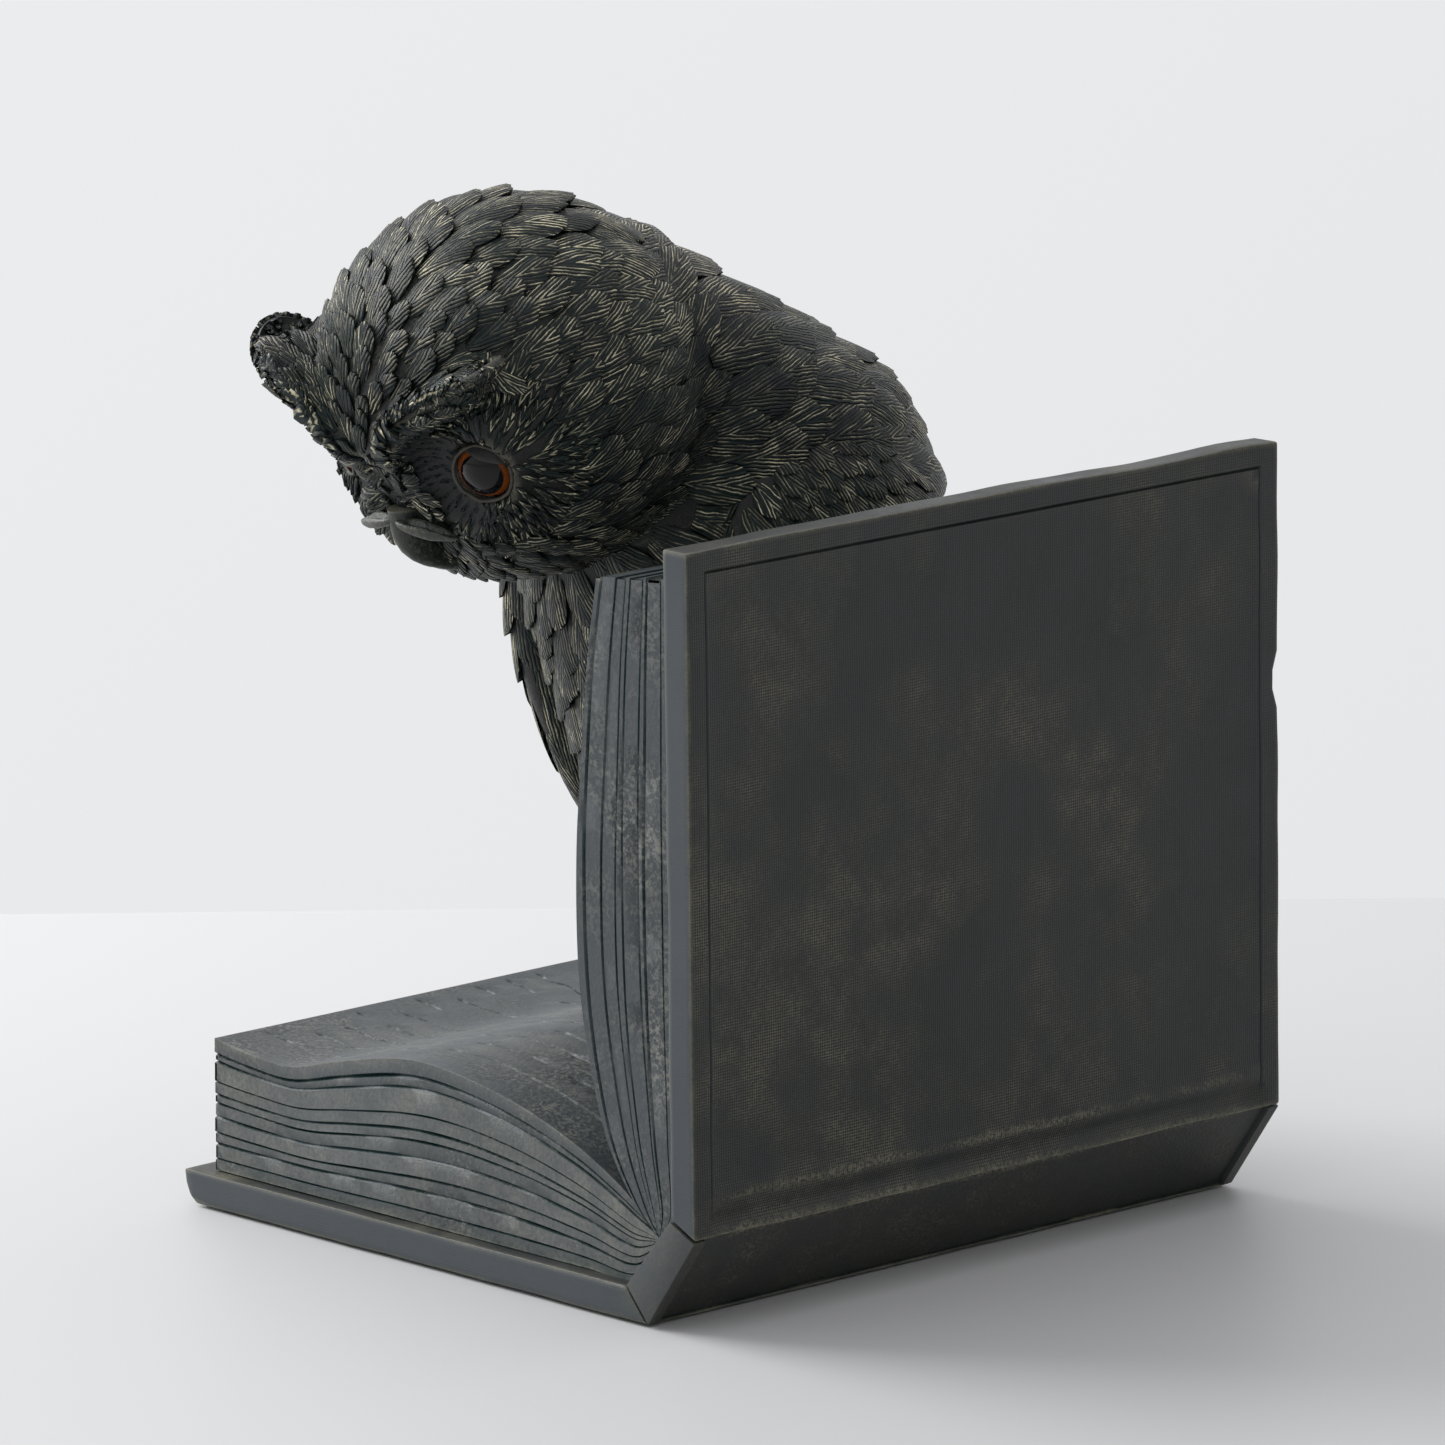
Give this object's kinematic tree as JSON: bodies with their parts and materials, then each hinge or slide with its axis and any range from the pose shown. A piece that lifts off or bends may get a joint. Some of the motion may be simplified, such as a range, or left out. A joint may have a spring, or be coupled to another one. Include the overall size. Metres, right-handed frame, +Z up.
{
  "type": "book end",
  "caption": "Book end shaped as an open book with an owl on its pages; the upright board holds a row of books and a ballasted base lies on the shelf.",
  "frame": {"origin": "centre of the felt face that the book end rests on", "axes": "+Z up, +X out of the upright board towards the books it holds, -Y the way the owl faces"},
  "size_m": [0.1585, 0.1724, 0.2162],
  "materials": {
    "cover_resin": "cold-cast resin with a linen relief, dark patina and pale gold dry brushing",
    "page_resin": "cold-cast resin with leaf grooves, slate patina and pale rubbed edges",
    "feather_resin": "cold-cast resin feathers, black and green patina, barbs dry brushed with pale gold",
    "beak_resin": "smooth dark resin, rubbed edges",
    "bare_resin": "unpainted",
    "steel": "mill finish, hidden",
    "felt": "short dark felt",
    "eye_glass": "polished",
    "eye_paint": "amber ring round a black pupil, painted behind the glass"
  },
  "bodies": {
    "root": {"base_board": "cover_resin", "upright_board": "cover_resin", "spine_board": "cover_resin", "base_page_block": "page_resin", "upright_page_block": "page_resin", "owl_body": "feather_resin", "owl_head": "feather_resin", "left_wing": "feather_resin", "right_wing": "feather_resin", "tail": "feather_resin", "left_foot": "feather_resin", "right_foot": "feather_resin", "left_ear_tuft": "feather_resin", "right_ear_tuft": "feather_resin", "beak": "beak_resin", "neck_plug": "bare_resin", "ballast_plate": "steel", "base_dowels": "steel", "upright_dowels": "steel", "wing_pins": "steel", "owl_studs": "steel", "base_felt": "felt", "left_eye_glass": "eye_glass", "left_eye_iris": "eye_paint", "right_eye_glass": "eye_glass", "right_eye_iris": "eye_paint"}
  },
  "joints": []
}
